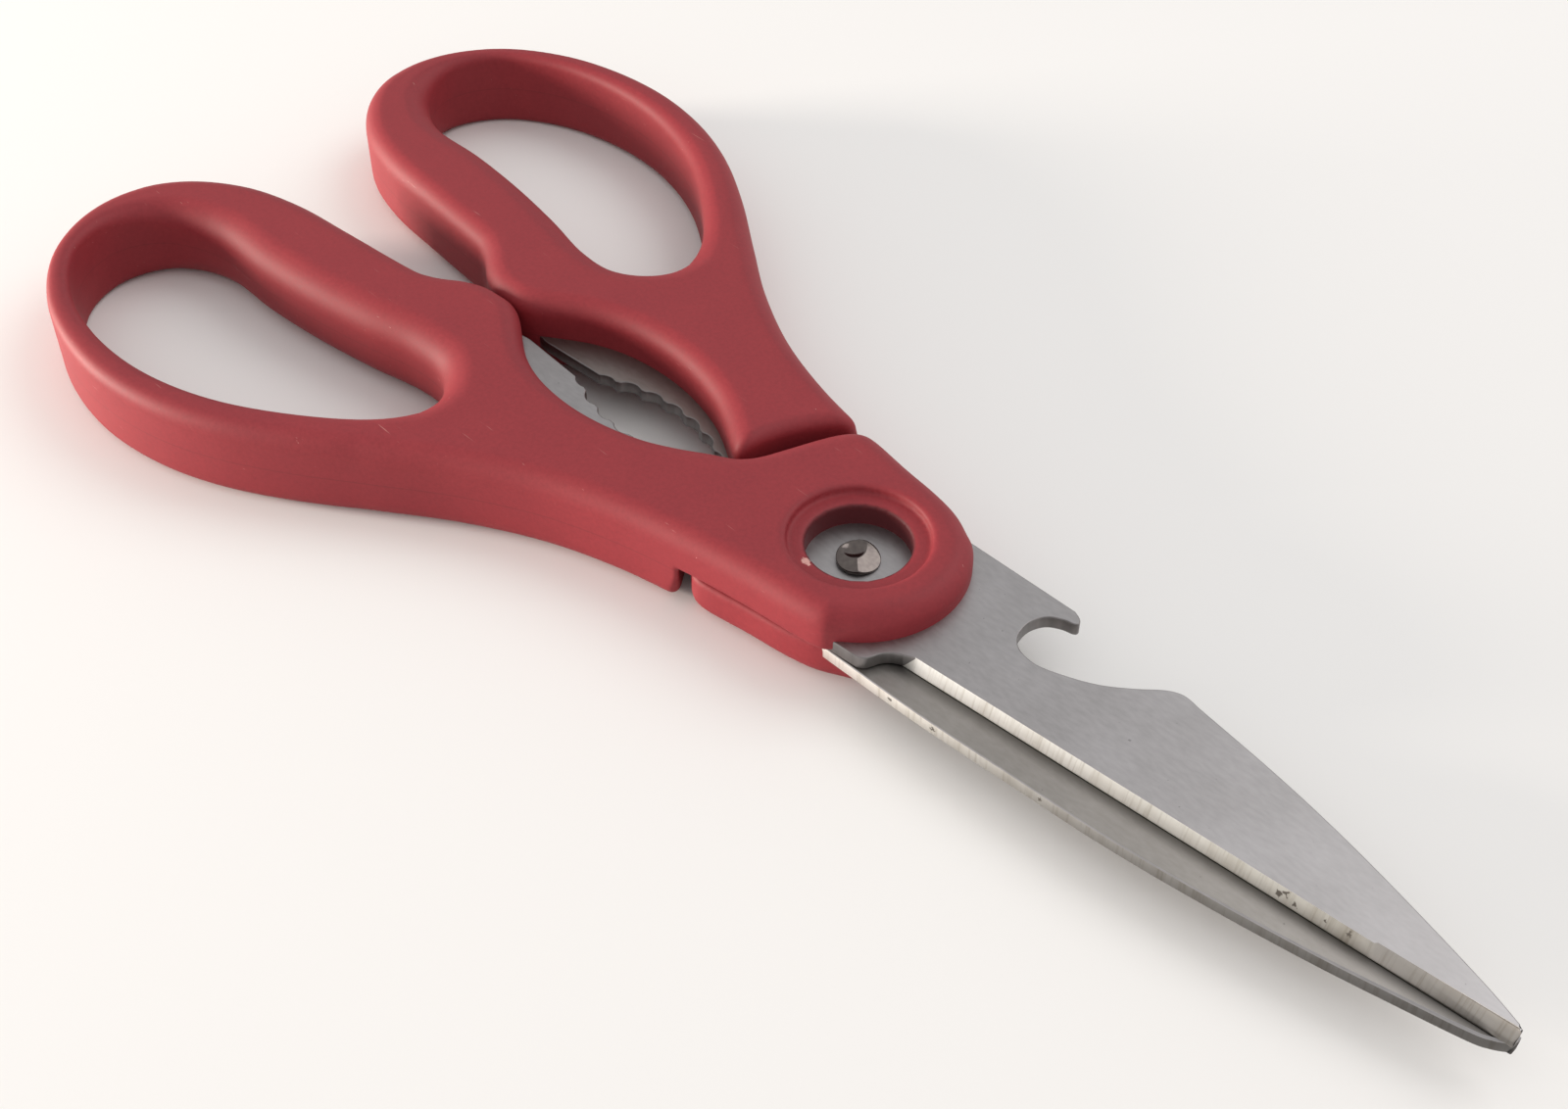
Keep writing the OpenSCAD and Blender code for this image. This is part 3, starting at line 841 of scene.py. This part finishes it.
def struck_rivet_tree():
    """A profile turned round Z, with its head pushed down by a dish and two facets."""
    tree = bpy.data.node_groups.new("struck_rivet", "GeometryNodeTree")
    for name, kind in RIVET_INPUTS:
        tree.interface.new_socket(name, in_out="INPUT", socket_type="NodeSocket" + kind)
    tree.interface.new_socket("Rivet", in_out="OUTPUT", socket_type="NodeSocketGeometry")
    given = add(tree, "NodeGroupInput").outputs
    profile = add(tree, "GeometryNodeMeshToCurve", {"Mesh": given["Profile"]}).outputs["Curve"]
    guide = add(tree, "GeometryNodeCurvePrimitiveCircle",
                {"Resolution": given["Sides"], "Radius": given["Guide Radius"]}).outputs["Curve"]
    turned = add(tree, "GeometryNodeCurveToMesh", {"Curve": guide, "Profile Curve": profile})
    closed = add(tree, "GeometryNodeMergeByDistance",
                 {"Geometry": turned.outputs["Mesh"], "Distance": 0.001 * MM})
    at = add(tree, "GeometryNodeInputPosition").outputs["Position"]
    flat_at = add(tree, "ShaderNodeVectorMath", {0: at, 1: (1, 1, 0)}, operation="MULTIPLY").outputs[0]
    off = add(tree, "ShaderNodeVectorMath", {0: flat_at, 1: given["Dish Place"]}, operation="DISTANCE")
    share = add(tree, "ShaderNodeMath", {0: off.outputs["Value"], 1: given["Dish Radius"]},
                operation="DIVIDE").outputs[0]
    square = add(tree, "ShaderNodeMath", {0: share, 1: 2.0}, operation="POWER").outputs[0]
    bowl = add(tree, "ShaderNodeMath", {0: 1.0, 1: square}, operation="SUBTRACT", use_clamp=True).outputs[0]
    deepest = add(tree, "ShaderNodeMath", {0: bowl, 1: given["Dish Depth"]}, operation="MULTIPLY").outputs[0]
    for slope, start in (("Facet Slope", "Facet Start"), ("Second Slope", "Second Start")):
        along = add(tree, "ShaderNodeVectorMath", {0: flat_at, 1: given[slope]}, operation="DOT_PRODUCT")
        fall = add(tree, "ShaderNodeMath", {0: along.outputs["Value"], 1: given[start]},
                   operation="SUBTRACT").outputs[0]
        deepest = add(tree, "ShaderNodeMath", {0: deepest, 1: fall}, operation="MAXIMUM").outputs[0]
    height = add(tree, "ShaderNodeSeparateXYZ", {0: at}).outputs["Z"]
    above = add(tree, "ShaderNodeMath", {0: height, 1: given["Head Base"]}, operation="SUBTRACT").outputs[0]
    up = add(tree, "ShaderNodeMath", {0: above, 1: given["Head Height"]},
             operation="DIVIDE", use_clamp=True).outputs[0]
    push = add(tree, "ShaderNodeMath", {0: deepest, 1: up}, operation="MULTIPLY").outputs[0]
    down = add(tree, "ShaderNodeMath", {0: push, 1: -1.0}, operation="MULTIPLY").outputs[0]
    offset = add(tree, "ShaderNodeCombineXYZ", {"Z": down}).outputs[0]
    struck = add(tree, "GeometryNodeSetPosition", {"Geometry": closed.outputs["Geometry"], "Offset": offset})
    smooth = add(tree, "GeometryNodeSetShadeSmooth", {"Geometry": struck.outputs["Geometry"]})
    real = add(tree, "GeometryNodeRealizeInstances", {"Geometry": smooth.outputs["Geometry"]})
    finished = add(tree, "GeometryNodeSetMaterial",
                   {"Geometry": real.outputs["Geometry"], "Material": given["Finish"]})
    add(tree, "NodeGroupOutput", {"Rivet": finished.outputs["Geometry"]})
    return tree


# %% Turn and strike the rivet
HEAD_R, FOOT_R, HEAD_H, GUIDE_R = 2.7, 3.2, 1.05, 1.0
HEAD_BASE = handle_t - plate_z + 0.05


def rivet_profile():
    """(radius, height) pairs from the middle of the head, down the shank, to the middle of the foot."""
    top, foot = HEAD_BASE, plate_z
    head = [(HEAD_R * s, top + HEAD_H * (1 - 0.12 * s**2)) for s in np.linspace(0, 0.86, 30)]
    head += [(HEAD_R * (0.86 + 0.14 * math.sin(a)), top + HEAD_H * (0.77 + 0.141 * math.cos(a)))
             for a in np.linspace(0.2, math.pi / 2, 6)]
    shank = [(HEAD_R, top + 0.3), (HEAD_R * 0.98, top), (SHANK_R, top - 0.001), (SHANK_R, foot + 0.001)]
    under = [(FOOT_R * 0.99, foot), (FOOT_R, foot - 0.2)]
    under += [(FOOT_R * (0.8 + 0.2 * math.cos(a)), foot - 0.45 - 0.4 * math.sin(a))
              for a in np.linspace(0, 1.4, 6)]
    under += [(FOOT_R * s, foot - 1.0 + 0.12 * s) for s in (0.6, 0.3, 0)]
    return head + shank + under


def make_rivet():
    """Runs the tree on the profile, whose X is the way out from the guide circle and whose Y is down."""
    line = [((r - GUIDE_R) * MM, -z * MM, 0) for r, z in rivet_profile()]
    mesh = bpy.data.meshes.new("rivet_profile")
    mesh.from_pydata(line, [(i, i + 1) for i in range(len(line) - 1)], [])
    piece = bpy.data.objects.new("pivot_rivet_staked", mesh)
    bpy.context.scene.collection.objects.link(piece)
    sizes = {"Sides": 96, "Guide Radius": GUIDE_R * MM,
             "Head Base": HEAD_BASE * MM, "Head Height": HEAD_H * MM,
             "Dish Place": (-1.1 * MM, 0.3 * MM, 0), "Dish Radius": 1.8 * MM, "Dish Depth": 0.5 * MM,
             "Facet Slope": (0.27, 0.1, 0), "Facet Start": -0.02 * MM,
             "Second Slope": (-0.02, -0.2, 0), "Second Start": 0.06 * MM, "Finish": staked}
    tree = struck_rivet_tree()
    lathe = piece.modifiers.new("lathe", "NODES")
    lathe.node_group = tree
    for socket in tree.interface.items_tree:
        if socket.in_out == "INPUT" and socket.name in sizes:
            lathe[socket.identifier] = sizes[socket.name]
    made = bpy.data.meshes.new_from_object(piece.evaluated_get(bpy.context.evaluated_depsgraph_get()))
    piece.modifiers.remove(lathe)
    piece.data = made
    made.transform(Matrix.Translation((pivot_x * MM, 0, 0)))
    hand_over(piece, "pivot_rivet", "lower_half")


make_rivet()

# %% [markdown]
# ## Table, light and camera
# The shears lie on a plain pale table in soft light: a small lamp very low on the handles' side, which lights
# the walls that face it and leaves the hollows dark red, a bright room all round, and a big panel overhead on
# the far side, so that the steel brightens towards the tips.

# %% Table
bpy.ops.mesh.primitive_plane_add(size=6, location=(0, 0, -0.05 * MM))
table_top = bpy.context.object
table_top.name = "table_top"
paper, _, paper_shader = material("pale_table", Roughness=0.8)
paper_shader.inputs["Base Color"].default_value = srgb("#F1F0EE")
table_top.data.materials.append(paper)


# %% Light
def soft_lamp(name, place_m, aim_m, size, power, colour):
    """A round lamp that faces aim_m."""
    lamp = bpy.data.lights.new(name, "AREA")
    lamp.shape = "DISK"
    lamp.size = size
    lamp.energy = power
    lamp.color = srgb(colour)[:3]
    holder = bpy.data.objects.new(name, lamp)
    holder.location = place_m
    holder.rotation_euler = (Vector(aim_m) - Vector(place_m)).to_track_quat("-Z", "Y").to_euler()
    bpy.context.scene.collection.objects.link(holder)


soft_lamp("key_lamp", (-0.563, -0.482, 0.082), (0, 0, 0), 0.2, 9.4, "#FFF3E6")
soft_lamp("steel_panel", (0.2, 0.7, 0.84), (0.1, 0, 0), 0.8, 3.1, "#FFFDFC")
room = bpy.data.worlds.new("room")
bpy.context.scene.world = room
room.use_nodes = True
room.node_tree.nodes["Background"].inputs["Color"].default_value = srgb("#F5F4F4")
room.node_tree.nodes["Background"].inputs["Strength"].default_value = 0.8

# %% Camera
camera_data = bpy.data.cameras.new("camera")
camera_data.sensor_width = 36
camera_data.lens = 47.823
camera = bpy.data.objects.new("camera", camera_data)
to_right = Vector((0.69505123, 0.7189373, 0.00574059))
to_top = Vector((-0.50055697, 0.47816402, 0.72166605))
backwards = Vector((0.5160877, -0.50446837, 0.69221756))
turn = Matrix((to_right, to_top, backwards)).transposed().to_4x4()
stand = Vector((122.157 + pivot_x, -131.836, 180.882)) * MM
camera.matrix_world = Matrix.Translation(stand) @ turn
camera_data.clip_start = 0.01
bpy.context.scene.collection.objects.link(camera)
bpy.context.scene.camera = camera
bpy.context.scene.view_settings.view_transform = "Standard"
